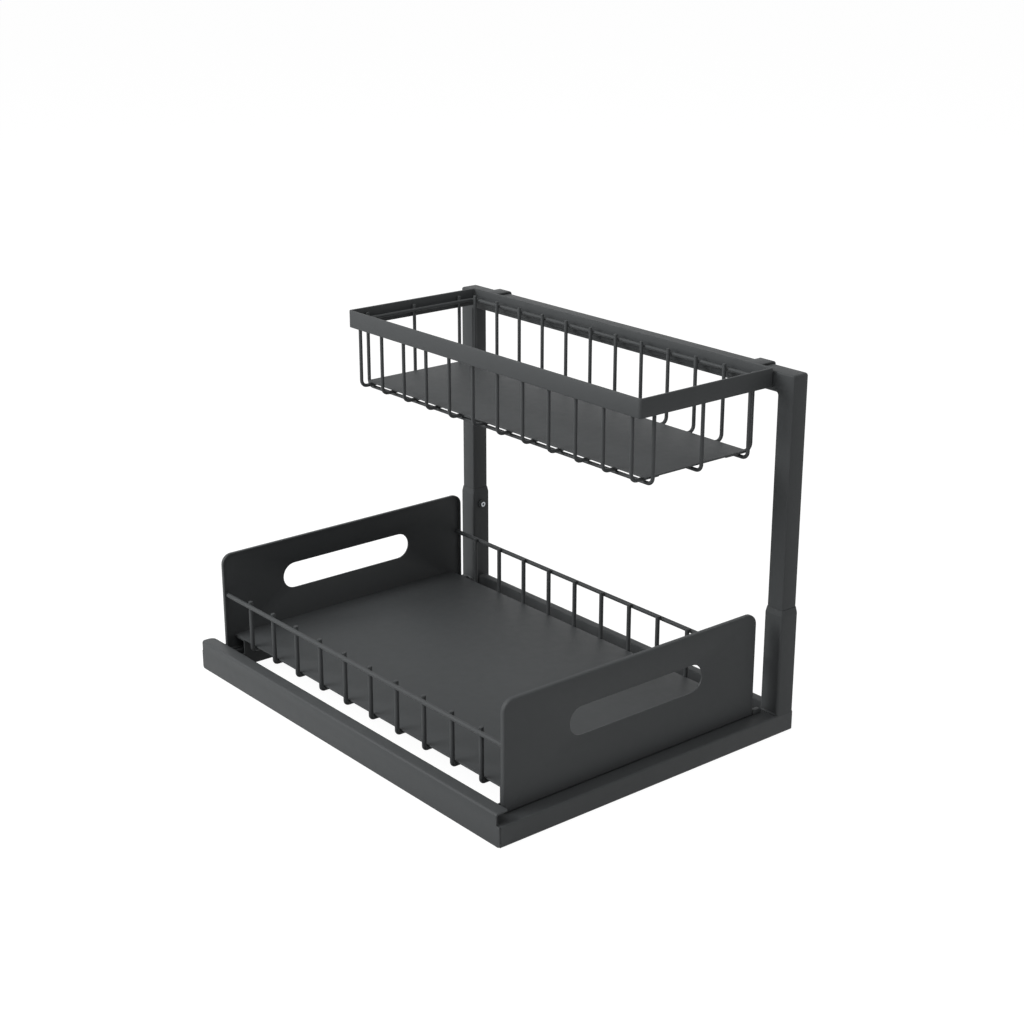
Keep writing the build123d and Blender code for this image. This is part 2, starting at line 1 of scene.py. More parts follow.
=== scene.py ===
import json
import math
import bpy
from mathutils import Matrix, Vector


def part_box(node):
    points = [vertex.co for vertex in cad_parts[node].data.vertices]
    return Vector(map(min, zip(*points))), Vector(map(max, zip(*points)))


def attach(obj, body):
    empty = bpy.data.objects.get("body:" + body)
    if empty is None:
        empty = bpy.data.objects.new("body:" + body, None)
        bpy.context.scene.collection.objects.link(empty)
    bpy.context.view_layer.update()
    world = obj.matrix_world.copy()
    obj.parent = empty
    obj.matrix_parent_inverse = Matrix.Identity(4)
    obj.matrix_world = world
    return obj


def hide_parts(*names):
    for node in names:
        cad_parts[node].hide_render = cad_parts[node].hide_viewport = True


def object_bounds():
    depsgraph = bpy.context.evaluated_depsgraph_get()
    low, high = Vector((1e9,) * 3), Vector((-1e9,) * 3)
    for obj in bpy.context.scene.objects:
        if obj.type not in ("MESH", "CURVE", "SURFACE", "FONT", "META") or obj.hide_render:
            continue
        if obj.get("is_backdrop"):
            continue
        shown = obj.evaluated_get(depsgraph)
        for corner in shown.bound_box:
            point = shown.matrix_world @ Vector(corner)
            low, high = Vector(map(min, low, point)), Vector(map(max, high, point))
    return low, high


bl_info = {
    "name": "Pull out cabinet basket",
    "version": (1, 0, 0),
    "blender": (4, 5, 0),
    "location": "View3D > Sidebar > Cabinet Basket",
    "description": "Dresses a pull out drawer with a raised wire basket in powder coated steel",
    "category": "Add Mesh",
}

import bmesh
import bpy
from mathutils import Matrix, Vector

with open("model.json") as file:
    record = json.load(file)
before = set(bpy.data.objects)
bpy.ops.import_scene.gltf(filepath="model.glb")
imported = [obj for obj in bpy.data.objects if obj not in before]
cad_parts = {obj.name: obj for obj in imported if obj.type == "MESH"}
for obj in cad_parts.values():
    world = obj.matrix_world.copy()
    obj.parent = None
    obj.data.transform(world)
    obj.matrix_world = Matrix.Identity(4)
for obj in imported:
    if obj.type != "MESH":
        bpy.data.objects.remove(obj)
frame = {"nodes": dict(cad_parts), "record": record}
CAD_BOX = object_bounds()

MM = 0.001
X, Y, Z = Vector((1, 0, 0)), Vector((0, 1, 0)), Vector((0, 0, 1))
# Each plane's two directions, and the one that leaves it.
PLANES = {"XY": (X, Y, Z), "XZ": (X, Z, Y), "YZ": (Y, Z, X)}
SIDES = {"left": -1, "right": 1}
ENDS = ("front", "rear")

# How finely rounds are cut, and the angles that tell an edge from a smooth stretch.
CORNER_STEPS = 7
BEND_STEPS = 6
BAR_SIDES = 14
SHARP_ANGLE = math.radians(60)
CUT_ANGLE = math.radians(50)
SMOOTH_ANGLE = math.radians(35)
# Two points nearer than this are at the same level.
SAME_LEVEL = 0.1 * MM


# ---------------------------------------------------------------- sizes and colours
def linear(hex_colour):
    """An sRGB hex colour as linear RGB."""
    parts = [int(hex_colour[i : i + 2], 16) / 255 for i in (1, 3, 5)]
    return [c / 12.92 if c <= 0.04045 else ((c + 0.055) / 1.055) ** 2.4 for c in parts]


def length(name, description, millimetres):
    """A length that a user may change; Blender keeps it in metres."""
    return bpy.props.FloatProperty(
        name=name,
        description=description,
        default=millimetres * MM,
        min=0.0,
        precision=4,
        subtype="DISTANCE",
        unit="LENGTH",
    )


def colour(name, description, hex_colour):
    """A colour that a user may change, from its sRGB hex value."""
    return bpy.props.FloatVectorProperty(
        name=name,
        description=description,
        default=linear(hex_colour),
        size=3,
        min=0.0,
        max=1.0,
        subtype="COLOR",
    )


class BASKET_PG_shapes(bpy.types.PropertyGroup):
    """Sizes of the edges, folds and welds"""

    tube_edge: length("Tube edge", "Radius along the edges of the square tubes", 2.0)
    gate_corner: length("Gate corner", "Radius at the gate's welded corners", 3.0)
    sheet: length("Sheet", "Thickness of the folded panels", 1.5)
    fold: length("Fold", "Outer radius of the folds in the panels", 2.2)
    cut_edge: length("Cut edge", "Softening that the coating gives a cut edge", 0.4)
    wire_tip: length("Wire tip", "Rounding at the wires' cut ends", 0.7)
    weld: length("Weld", "Radius of a spot weld's bead", 1.5)


class BASKET_PG_finishes(bpy.types.PropertyGroup):
    """Colours of the finishes and the floor"""

    coat: colour("Coating", "Anthracite powder coating", "#3F4142")
    zinc: colour("Zinc", "Zinc plated steel of the slides and screws", "#B9BDC1")
    ball: colour("Balls", "Polished bearing steel", "#D6D8DA")
    plastic: colour("Plastic", "Black moulded plastic of the plugs", "#1C1D1E")
    floor: colour("Floor", "Pale studio floor", "#E6E6E6")


def shapes():
    """The scene's shape settings."""
    return bpy.context.scene.basket_shapes


def finishes():
    """The scene's finish settings."""
    return bpy.context.scene.basket_finishes


# ---------------------------------------------------------------- mesh tools
def spot(plane, a, b, level):
    """The point at two distances in a plane, at a level above it."""
    across, up, out = PLANES[plane]
    return across * a + up * b + out * level


def round_corners(bm, verts, radius, segments):
    """Round some corners of a flat sheet."""
    bmesh.ops.bevel(
        bm, geom=verts, offset=radius, segments=segments, profile=0.5, affect="VERTICES", material=-1
    )


def outline(plane, level, corners, radii):
    """A bmesh with one flat face, its corners rounded by their radii."""
    bm = bmesh.new()
    verts = [bm.verts.new(spot(plane, a, b, level)) for a, b in corners]
    bm.faces.new(verts)
    for vert, radius in zip(verts, radii):
        if radius > 0:
            round_corners(bm, [vert], radius, CORNER_STEPS)
    return bm


def soften(bm, edges, radius, segments=3):
    """Round some edges."""
    bmesh.ops.bevel(
        bm, geom=list(edges), offset=radius, segments=segments, profile=0.5, affect="EDGES", material=-1
    )


def sharp_edges(bm):
    """Edges whose two faces meet at a clear angle."""
    return [e for e in bm.edges if len(e.link_faces) == 2 and e.calc_face_angle() > SHARP_ANGLE]


def lies_at(edge, axis, level):
    """Whether an edge lies at a level along an axis."""
    return all(abs(v.co.dot(axis) - level) < SAME_LEVEL for v in edge.verts)


def is_cap(face):
    """Whether a face is a bar's flat end, the only kind with more than four corners."""
    return len(face.verts) > 4


def prism(plane, level, depth, corners, radii, edge):
    """A solid from an outline pushed out by a depth, with softened rims."""
    bm = outline(plane, level, corners, radii)
    grown = bmesh.ops.extrude_face_region(bm, geom=bm.faces[:])["geom"]
    verts = [v for v in grown if isinstance(v, bmesh.types.BMVert)]
    bmesh.ops.translate(bm, vec=PLANES[plane][2] * depth, verts=verts)
    bmesh.ops.recalc_face_normals(bm, faces=bm.faces)
    if edge > 0:
        soften(bm, sharp_edges(bm), edge)
    return bm


def rectangle(low_a, high_a, low_b, high_b):
    """The four corners of a rectangle in a plane."""
    return [(low_a, low_b), (high_a, low_b), (high_a, high_b), (low_a, high_b)]


def box_prism(plane, low, high, radii, edge):
    """A prism that fills a box, with the corners of its outline rounded."""
    across, up, out = PLANES[plane]
    corners = rectangle(low.dot(across), high.dot(across), low.dot(up), high.dot(up))
    return prism(plane, low.dot(out), high.dot(out) - low.dot(out), corners, radii, edge)


def face_towards(bm, direction):
    """The largest face that looks in a direction."""
    looking = [f for f in bm.faces if f.normal.dot(direction) > 0.99]
    return max(looking, key=lambda f: f.calc_area())


def hollow_end(bm, direction, wall, depth):
    """Open a tube's end: the wall stays and the rest is pushed in."""
    face = face_towards(bm, direction)
    bmesh.ops.inset_region(bm, faces=[face], thickness=wall, use_even_offset=True)
    pushed = bmesh.ops.extrude_discrete_faces(bm, faces=[face])["faces"][0]
    bmesh.ops.translate(bm, vec=-direction * depth, verts=pushed.verts)


def grow(bm, edges, vector):
    """Extrude a loop or line of edges and return the new ones."""
    new = bmesh.ops.extrude_edge_only(bm, edges=edges)["geom"]
    verts = {v for v in new if isinstance(v, bmesh.types.BMVert)}
    bmesh.ops.translate(bm, vec=vector, verts=list(verts))
    return [e for e in new if isinstance(e, bmesh.types.BMEdge) and set(e.verts) <= verts]


def turn(bm, edges, centre, axis, degrees):
    """Spin a loop or line of edges round an axis and return the new ones."""
    new = bmesh.ops.spin(
        bm, geom=edges, cent=centre, axis=axis, dvec=(0, 0, 0), angle=math.radians(degrees), steps=BEND_STEPS
    )["geom_last"]
    return [e for e in new if isinstance(e, bmesh.types.BMEdge)]


def bent_bar(start, legs, bend, radius, tip):
    """A round bar that starts at a point and follows its legs, with a bend between each two."""
    bm = bmesh.new()
    heading = legs[0].normalized()
    place = Matrix.Translation(start) @ heading.to_track_quat("Z", "Y").to_matrix().to_4x4()
    bmesh.ops.create_circle(bm, cap_ends=True, segments=BAR_SIDES, radius=radius, matrix=place)
    ring = bm.edges[:]
    at = Vector(start)
    for number, leg in enumerate(legs):
        heading = leg.normalized()
        last = number == len(legs) - 1
        trim = (bend if number else 0) + (0 if last else bend)
        run = heading * (leg.length - trim)
        ring = grow(bm, ring, run)
        at = at + run
        if not last:
            ahead = legs[number + 1].normalized()
            angle = math.degrees(heading.angle(ahead))
            ring = turn(bm, ring, at + ahead * bend, heading.cross(ahead), angle)
            at = at + heading * bend + ahead * bend
    bmesh.ops.edgeloop_fill(bm, edges=ring)
    bmesh.ops.recalc_face_normals(bm, faces=bm.faces)
    if tip > 0:
        soften(bm, [e for e in sharp_edges(bm) if any(is_cap(f) for f in e.link_faces)], tip, 2)
    return bm


def join(target, source):
    """Add a bmesh to another and free it."""
    mesh = bpy.data.meshes.new("joined")
    source.to_mesh(mesh)
    source.free()
    target.from_mesh(mesh)
    bpy.data.meshes.remove(mesh)


def bead(bm, centre, squash):
    """A small weld bead, scaled along each axis."""
    radius = shapes().weld
    verts = bmesh.ops.create_uvsphere(bm, u_segments=8, v_segments=6, radius=radius)["verts"]
    bmesh.ops.scale(bm, vec=squash, verts=verts)
    bmesh.ops.translate(bm, vec=centre, verts=verts)


def piece(name, bm, body, *nodes):
    """Turn a bmesh into a coated piece that rides on a body and stands for its CAD nodes."""
    mesh = bpy.data.meshes.new(name)
    bm.to_mesh(mesh)
    bm.free()
    mesh.materials.append(material_of(COATING))
    mesh.polygons.foreach_set("use_smooth", [True] * len(mesh.polygons))
    mesh.set_sharp_from_angle(angle=SMOOTH_ANGLE)
    made = bpy.data.objects.new(name, mesh)
    bpy.context.scene.collection.objects.link(made)
    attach(made, body)
    if nodes:
        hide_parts(*nodes)
    return made


def thicken(made, thickness, edge):
    """Give a folded sheet its thickness, inwards, and soften its cut edges."""
    wall = made.modifiers.new("Sheet", "SOLIDIFY")
    wall.thickness = thickness
    wall.offset = -1.0
    wall.use_even_offset = True
    rim = made.modifiers.new("Coated edge", "BEVEL")
    rim.width = edge
    rim.segments = 2
    rim.limit_method = "ANGLE"
    rim.angle_limit = CUT_ANGLE


def look_out(bm, inside):
    """Turn an open sheet's faces away from a point inside it."""
    bmesh.ops.recalc_face_normals(bm, faces=bm.faces)
    lean = sum(f.normal.dot(f.calc_center_median() - inside) * f.calc_area() for f in bm.faces)
    if lean < 0:
        bmesh.ops.reverse_faces(bm, faces=bm.faces)


# ---------------------------------------------------------------- materials
COATING = "Powder coated steel"
SLOTS = {
    COATING: "anthracite_paint",
    "Zinc plated steel": "zinc_plated_steel",
    "Bearing steel": "polished_ball_steel",
    "Moulded polypropylene": "black_plastic",
}


def shade(colour_setting, factor=1.0):
    """A colour setting as linear RGBA, made lighter or darker."""
    return [c * factor for c in colour_setting] + [1.0]


def add_node(tree, kind, inputs=None, **settings):
    """Add a shader node with its settings, and its values or links by input."""
    node = tree.nodes.new(kind)
    for name, value in settings.items():
        setattr(node, name, value)
    for name, value in (inputs or {}).items():
        if isinstance(value, bpy.types.NodeSocket):
            tree.links.new(value, node.inputs[name])
        else:
            node.inputs[name].default_value = value
    return node


def new_material(name):
    """An empty node material and its tree."""
    material = bpy.data.materials.new(name)
    material.use_nodes = True
    material.node_tree.nodes.clear()
    return material, material.node_tree


def speckle(tree, size, detail, stretch=(1, 1, 1)):
    """Noise on object coordinates, with features of a real size in metres."""
    place = add_node(tree, "ShaderNodeTexCoord").outputs["Object"]
    scaled = add_node(tree, "ShaderNodeMapping", {"Vector": place, "Scale": stretch})
    inputs = {"Vector": scaled.outputs["Vector"], "Scale": 1 / size, "Detail": detail}
    return add_node(tree, "ShaderNodeTexNoise", inputs).outputs["Fac"]


def powder_coat():
    """Polyester powder coating, sprayed dry and baked: matte, with a faint orange peel."""
    material, tree = new_material(COATING)
    base = finishes().coat
    # Film thickness drifts over a hand's width, so the grey drifts by a few percent.
    cloud = speckle(tree, 60 * MM, 3.0)
    drift = add_node(tree, "ShaderNodeMapRange", {"Value": cloud, "To Min": 0.2, "To Max": 0.8})
    tones = {"Factor": drift.outputs["Result"], "A": shade(base, 0.94), "B": shade(base, 1.06)}
    tone = add_node(tree, "ShaderNodeMix", tones, data_type="RGBA")
    # Real peel is about 1 mm across; it is drawn twice as coarse so that it shows.
    peel = speckle(tree, 2.2 * MM, 1.0)
    waves = add_node(tree, "ShaderNodeBump", {"Height": peel, "Strength": 0.35, "Distance": 0.06 * MM})
    grain = {
        "Height": speckle(tree, 0.6 * MM, 1.0),
        "Strength": 0.3,
        "Distance": 0.03 * MM,
        "Normal": waves.outputs["Normal"],
    }
    bump = add_node(tree, "ShaderNodeBump", grain)
    # The bake leaves slightly glossier patches, a fingertip wide.
    patches = {"Value": speckle(tree, 9 * MM, 2.0), "To Min": 0.52, "To Max": 0.62}
    sheen = add_node(tree, "ShaderNodeMapRange", patches)
    shader = add_node(
        tree,
        "ShaderNodeBsdfPrincipled",
        {
            "Base Color": tone.outputs["Result"],
            "Roughness": sheen.outputs["Result"],
            "IOR": 1.5,
            "Specular IOR Level": 0.2,
            "Normal": bump.outputs["Normal"],
        },
    )
    add_node(tree, "ShaderNodeOutputMaterial", {"Surface": shader.outputs["BSDF"]})
    return material


def zinc_plate():
    """Cold rolled strip, roll formed and zinc plated: bright, with streaks along the strip."""
    material, tree = new_material("Zinc plated steel")
    base = finishes().zinc
    streak = speckle(tree, 1.2 * MM, 2.0, (1, 0.06, 1))
    drift = add_node(tree, "ShaderNodeMapRange", {"Value": streak, "To Min": 0.1, "To Max": 0.9})
    tones = {"Factor": drift.outputs["Result"], "A": shade(base, 0.82), "B": shade(base)}
    tone = add_node(tree, "ShaderNodeMix", tones, data_type="RGBA")
    bump = add_node(tree, "ShaderNodeBump", {"Height": streak, "Strength": 0.25, "Distance": 0.03 * MM})
    sheen = add_node(tree, "ShaderNodeMapRange", {"Value": streak, "To Min": 0.28, "To Max": 0.42})
    shader = add_node(
        tree,
        "ShaderNodeBsdfPrincipled",
        {
            "Base Color": tone.outputs["Result"],
            "Metallic": 1.0,
            "Roughness": sheen.outputs["Result"],
            "Normal": bump.outputs["Normal"],
        },
    )
    add_node(tree, "ShaderNodeOutputMaterial", {"Surface": shader.outputs["BSDF"]})
    return material


def bearing_steel():
    """Chrome steel balls, ground and lapped: mirror bright, under a thin film of grease."""
    material, tree = new_material("Bearing steel")
    film = speckle(tree, 1.5 * MM, 2.0)
    sheen = add_node(tree, "ShaderNodeMapRange", {"Value": film, "To Min": 0.06, "To Max": 0.18})
    shader = add_node(
        tree,
        "ShaderNodeBsdfPrincipled",
        {
            "Base Color": shade(finishes().ball),
            "Metallic": 1.0,
            "Roughness": sheen.outputs["Result"],
        },
    )
    add_node(tree, "ShaderNodeOutputMaterial", {"Surface": shader.outputs["BSDF"]})
    return material


def polypropylene():
    """Injection moulded plastic with a spark eroded grain."""
    material, tree = new_material("Moulded polypropylene")
    base = finishes().plastic
    grain = speckle(tree, 0.8 * MM, 2.0)
    tones = {"Factor": speckle(tree, 12 * MM, 2.0), "A": shade(base, 0.9), "B": shade(base, 1.15)}
    tone = add_node(tree, "ShaderNodeMix", tones, data_type="RGBA")
    bump = add_node(tree, "ShaderNodeBump", {"Height": grain, "Strength": 0.4, "Distance": 0.05 * MM})
    sheen = add_node(tree, "ShaderNodeMapRange", {"Value": grain, "To Min": 0.42, "To Max": 0.55})
    shader = add_node(
        tree,
        "ShaderNodeBsdfPrincipled",
        {
            "Base Color": tone.outputs["Result"],
            "Roughness": sheen.outputs["Result"],
            "IOR": 1.49,
            "Normal": bump.outputs["Normal"],
        },
    )
    add_node(tree, "ShaderNodeOutputMaterial", {"Surface": shader.outputs["BSDF"]})
    return material


MAKERS = {
    COATING: powder_coat,
    "Zinc plated steel": zinc_plate,
    "Bearing steel": bearing_steel,
    "Moulded polypropylene": polypropylene,
}


def material_of(name):
    """The material of this name, made on first use."""
    return bpy.data.materials.get(name) or MAKERS[name]()


class BASKET_OT_finishes(bpy.types.Operator):
    """Give every CAD node the material of its slot"""

    bl_idname = "basket.finishes"
    bl_label = "Finishes"

    def execute(self, context):
        names = {slot: name for name, slot in SLOTS.items()}
        for part in frame["record"]["subparts"]:
            mesh = frame["nodes"][part["node"]].data
            mesh.materials.clear()
            mesh.materials.append(material_of(names[part["material_slot"]]))
        return {"FINISHED"}


# ---------------------------------------------------------------- base frame
class BASKET_OT_side_rails(bpy.types.Operator):
    """Square tubes along the floor, open at their ends round a plug"""

    bl_idname = "basket.side_rails"
    bl_label = "Side Rails"

    def execute(self, context):
        end_edge = 0.8 * MM
        end_wall, plug_depth = 0.7 * MM, 14 * MM
        for label in SIDES:
            node = f"side_rail_{label}"
            low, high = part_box(node)
            bm = box_prism("XZ", low, high, [shapes().tube_edge] * 4, 0)
            # The front ends stay crisp, close behind the finger rail.
            soften(bm, [e for e in sharp_edges(bm) if lies_at(e, Y, high.y)], end_edge, 2)
            for direction in (-Y, Y):
                hollow_end(bm, direction, end_wall, plug_depth)
            piece(f"side_rail_tube_{label}", bm, "base", node)
        return {"FINISHED"}


class BASKET_OT_post_sleeves(bpy.types.Operator):
    """Sockets on the rails with a drawn-in mouth, and the weld that holds each one"""

    bl_idname = "basket.post_sleeves"
    bl_label = "Post Sleeves"

    def execute(self, context):
        edge, shoulder_edge = 2.5 * MM, 0.8 * MM
        taper = 6 * MM
        shrink = 22.2 / 24.4
        mouth_wall, mouth_depth = 0.4 * MM, 12 * MM
        buried = 1.9 * MM
        weld_radius, weld_tip = 1.7 * MM, 0.8 * MM
        weld_in, weld_up = 0.3 * MM, 0.2 * MM
        for label in SIDES:
            node = f"post_sleeve_{label}"
            low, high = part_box(node)
            # It starts inside the rail's rounding, where the weld is ground flush.
            foot, shoulder = low.z - buried, high.z - taper
            corners = rectangle(low.x, high.x, low.y, high.y)
            bm = prism("XY", foot, shoulder - foot, corners, [edge] * 4, 0)
            top = face_towards(bm, Z)
            mouth = bmesh.ops.extrude_discrete_faces(bm, faces=[top])["faces"][0]
            bmesh.ops.translate(bm, vec=Z * taper, verts=mouth.verts)
            space = Matrix.Translation(-(low + high) / 2)
            bmesh.ops.scale(bm, vec=(shrink, shrink, 1), space=space, verts=mouth.verts)
            ring = [e for e in bm.edges if lies_at(e, Z, shoulder) and len(e.link_faces) == 2]
            soften(bm, ring, shoulder_edge)
            hollow_end(bm, Z, mouth_wall, mouth_depth)
            piece(f"post_sleeve_tube_{label}", bm, "base", node)

            start = Vector((low.x + edge, low.y + weld_in, low.z + weld_up))
            seam = bent_bar(start, [X * (high.x - low.x - 2 * edge)], 0, weld_radius, weld_tip)
            piece(f"post_sleeve_weld_{label}", seam, "base")
        return {"FINISHED"}


class BASKET_OT_base_bars(bpy.types.Operator):
    """The crossbar between the sleeves, and the rear stops on the rails"""

    bl_idname = "basket.base_bars"
    bl_label = "Base Bars"

    def execute(self, context):
        bar_edge, stop_corner = 1.2 * MM, 3 * MM
        bm = box_prism("YZ", *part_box("rear_crossbar"), [bar_edge] * 4, 0)
        piece("rear_crossbar_bar", bm, "base", "rear_crossbar")
        for label in SIDES:
            node = f"rear_stop_{label}"
            radii = [0, 0, stop_corner, stop_corner]
            bm = box_prism("YZ", *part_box(node), radii, shapes().cut_edge)
            piece(f"rear_stop_tab_{label}", bm, "base", node)
        return {"FINISHED"}


# ---------------------------------------------------------------- drawer
class BASKET_OT_finger_rail(bpy.types.Operator):
    """Folded front rail whose lip the fingers pull"""

    bl_idname = "basket.finger_rail"
    bl_label = "Finger Rail"

    def execute(self, context):
        thickness, bend = 1.8 * MM, 3 * MM
        notch_left, notch_right = 1.0 * MM, 4.6 * MM
        round_left, round_right = 6.5 * MM, 2.5 * MM
        foot = 2 * MM
        low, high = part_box("handle_rail")
        step_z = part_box("side_rail_right")[1].z
        fold_z = high.z - bend
        corners = [
            (low.x, low.z + foot),
            (low.x + foot, low.z),
            (high.x - foot, low.z),
            (high.x, low.z + foot),
            (high.x, step_z),
            (high.x - notch_right, step_z),
            (high.x - notch_right, fold_z),
            (low.x + notch_left, fold_z),
            (low.x + notch_left, step_z),
            (low.x, step_z),
        ]
        bm = outline("XZ", low.y, corners, [0] * len(corners))
        fold = [e for e in bm.edges if lies_at(e, Z, fold_z)]
        lip = turn(bm, fold, Vector((0, low.y + bend, fold_z)), -X, 90)
        lip = grow(bm, lip, Y * (high.y - low.y - bend))
        if lip[0].verts[0].co.y < low.y + bend:
            raise RuntimeError("the lip folds the wrong way")
        tips = sorted(lip[0].verts, key=lambda v: v.co.x)
        for tip, radius in zip(tips, (round_left, round_right)):
            round_corners(bm, [tip], radius, CORNER_STEPS)
        look_out(bm, Vector((0, high.y, low.z)))
        thicken(piece("finger_rail", bm, "drawer", "handle_rail"), thickness, shapes().cut_edge)
        return {"FINISHED"}


class BASKET_OT_side_panels(bpy.types.Operator):
    """Pan-folded side panels with a long hand slot"""

    bl_idname = "basket.side_panels"
    bl_label = "Side Panels"

    def execute(self, context):
        slot_length, slot_height = 178 * MM, 30.5 * MM
        slot_from_front, slot_z = 190 * MM, 91 * MM
        lower_corner, upper_corner = 2.4 * MM, 12 * MM
        margin = 4 * MM
        inside_by = 60 * MM
        # A hair less than half, so that the points of the slot's round ends don't meet.
        nearly_half = 0.999 * slot_height / 2
        slot_y = CAD_BOX[0].y + slot_from_front
        for label, side in SIDES.items():
            node = f"side_panel_{label}"
            low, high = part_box(node)
            face_x = high.x if side > 0 else low.x
            corners = rectangle(low.y, high.y, low.z, high.z)
            bm = outline("YZ", face_x, corners, [lower_corner] * 2 + [upper_corner] * 2)
            bmesh.ops.inset_region(bm, faces=bm.faces[:], thickness=margin, use_even_offset=True)
            web = max(bm.faces, key=lambda f: f.calc_area())
            border = list(web.edges)
            bmesh.ops.delete(bm, geom=[web], context="FACES_ONLY")

            ends = (slot_y - slot_length / 2, slot_y + slot_length / 2)
            corners = rectangle(*ends, slot_z - slot_height / 2, slot_z + slot_height / 2)
            slot = outline("YZ", face_x, corners, [nearly_half] * 4)
            bmesh.ops.delete(slot, geom=slot.faces[:], context="FACES_ONLY")
            known = set(bm.edges)
            join(bm, slot)
            slot_edges = [e for e in bm.edges if e not in known]
            bmesh.ops.triangle_fill(bm, use_beauty=True, use_dissolve=False, edges=border + slot_edges)

            inner = {v for e in slot_edges for v in e.verts}
            rim = [e for e in bm.edges if e.is_boundary and not set(e.verts) <= inner]
            grow(bm, rim, -X * side * (high.x - low.x))
            soften(bm, rim, shapes().fold, 5)
            middle = Vector((face_x - side * inside_by, (low.y + high.y) / 2, (low.z + high.z) / 2))
            look_out(bm, middle)
            made = piece(f"side_panel_sheet_{label}", bm, "drawer", node)
            thicken(made, shapes().sheet, shapes().cut_edge)
        return {"FINISHED"}


class BASKET_OT_drawer_floor(bpy.types.Operator):
    """Flat steel floor of the drawer"""

    bl_idname = "basket.drawer_floor"
    bl_label = "Drawer Floor"

    def execute(self, context):
        corner = 1.0 * MM
        bm = box_prism("XY", *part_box("drawer_floor"), [corner] * 4, shapes().cut_edge)
        piece("drawer_floor_sheet", bm, "drawer", "drawer_floor")
        return {"FINISHED"}


def wire_places(node, radius):
    """Middle lines of a node's upright wires in metres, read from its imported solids."""
    mesh = frame["nodes"][node].data
    found = sorted({round(v.co.x / MM, 1) for v in mesh.vertices})
    places, group = [], [found[0]]
    for x in found[1:]:
        if x - group[-1] > radius / MM * 2:
            places.append(group)
            group = []
        group.append(x)
    places.append(group)
    return [(g[0] + g[-1]) / 2 * MM for g in places]


def wire_row(node, end, radius, bend):
    """A row of upright wires with bent feet, where each stands along X, and their middle line's Y."""
    low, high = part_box(node)
    wire_y = low.y + radius if end == "front" else high.y - radius
    foot_y = high.y if end == "front" else low.y
    legs = [-Z * (high.z - low.z - radius), Y * (foot_y - wire_y)]
    places = wire_places(node, radius)
    wires = bmesh.new()
    for x in places:
        join(wires, bent_bar(Vector((x, wire_y, high.z)), legs, bend, radius, shapes().wire_tip))
    return wires, places, wire_y


class BASKET_OT_guards(bpy.types.Operator):
    """Front and rear wire guards of the drawer, with spot welds at the rods"""

    bl_idname = "basket.guards"
    bl_label = "Drawer Guards"

    def execute(self, context):
        radius, bend = 2.5 * MM, 3.2 * MM
        weld_aside = 1.6 * MM
        for end in ENDS:
            low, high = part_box(f"{end}_top_rod")
            start = Vector((low.x, (low.y + high.y) / 2, (low.z + high.z) / 2))
            rod = bent_bar(start, [X * (high.x - low.x)], 0, radius, 0)
            piece(f"{end}_guard_rod", rod, "drawer", f"{end}_top_rod")

            node = f"drawer_{end}_wires"
            wires, places, wire_y = wire_row(node, end, radius, bend)
            welds = bmesh.new()
            for x in places:
                for aside in (-weld_aside, weld_aside):
                    bead(welds, Vector((x + aside, (wire_y + start.y) / 2, start.z)), (0.9, 1.0, 0.75))
            piece(f"{end}_guard_wires", wires, "drawer", node)
            piece(f"{end}_guard_welds", welds, "drawer")
        return {"FINISHED"}


# ---------------------------------------------------------------- gate
class BASKET_OT_gate(bpy.types.Operator):
    """The welded gate: two posts and their top bar, ground smooth at the corners"""

    bl_idname = "basket.gate"
    bl_label = "Gate"

    def execute(self, context):
        left_low, left_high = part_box("gate_post_left")
        right_low, right_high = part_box("gate_post_right")
        bar_low, bar_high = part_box("gate_top_bar")
        corner = shapes().gate_corner
        foot, top, under = left_low.z, bar_high.z, bar_low.z
        corners = [
            (left_low.x, foot),
            (left_high.x, foot),
            (left_high.x, under),
            (right_low.x, under),
            (right_low.x, foot),
            (right_high.x, foot),
            (right_high.x, top),
            (left_low.x, top),
        ]
        radii = [0, 0, corner, corner, 0, 0, corner, corner]
        bm = prism("XZ", left_low.y, left_high.y - left_low.y, corners, radii, 0)
        edges = [e for e in sharp_edges(bm) if not lies_at(e, Z, foot)]
        soften(bm, edges, shapes().tube_edge, 4)
        piece("gate_frame", bm, "gate", "gate_post_left", "gate_post_right", "gate_top_bar")
        return {"FINISHED"}


# ---------------------------------------------------------------- upper basket
class BASKET_OT_rim(bpy.types.Operator):
    """Flat bar bent round the top of the upper basket, and the rod inside it"""

    bl_idname = "basket.rim"
    bl_label = "Basket Rim"

    def execute(self, context):
        bar_corner, bar_thickness, bar_edge = 4 * MM, 3 * MM, 0.7 * MM
        low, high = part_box("upper_rim")
        bm = outline("XY", low.z, rectangle(low.x, high.x, low.y, high.y), [bar_corner] * 4)
        bmesh.ops.delete(bm, geom=bm.faces[:], context="FACES_ONLY")
        grow(bm, bm.edges[:], Z * (high.z - low.z))
        look_out(bm, (low + high) / 2)
        thicken(piece("basket_rim_bar", bm, "gate", "upper_rim"), bar_thickness, bar_edge)

        # The rod starts and ends in the middle of the front, where its two ends are merged.
        radius, bend, merge = 2 * MM, 6 * MM, 0.05 * MM
        low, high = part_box("upper_rim_rod")
        start = Vector(((low.x + high.x) / 2, low.y + radius, (low.z + high.z) / 2))
        reach_x, reach_y = (high.x - low.x) / 2 - radius, high.y - low.y - 2 * radius
        legs = [X * reach_x, Y * reach_y, -X * 2 * reach_x, -Y * reach_y, X * reach_x]
        rod = bent_bar(start, legs, bend, radius, 0)
        bmesh.ops.delete(rod, geom=[f for f in rod.faces if is_cap(f)], context="FACES")
        bmesh.ops.remove_doubles(rod, verts=rod.verts, dist=merge)
        piece("basket_rim_inner_rod", rod, "gate", "upper_rim_rod")
        return {"FINISHED"}


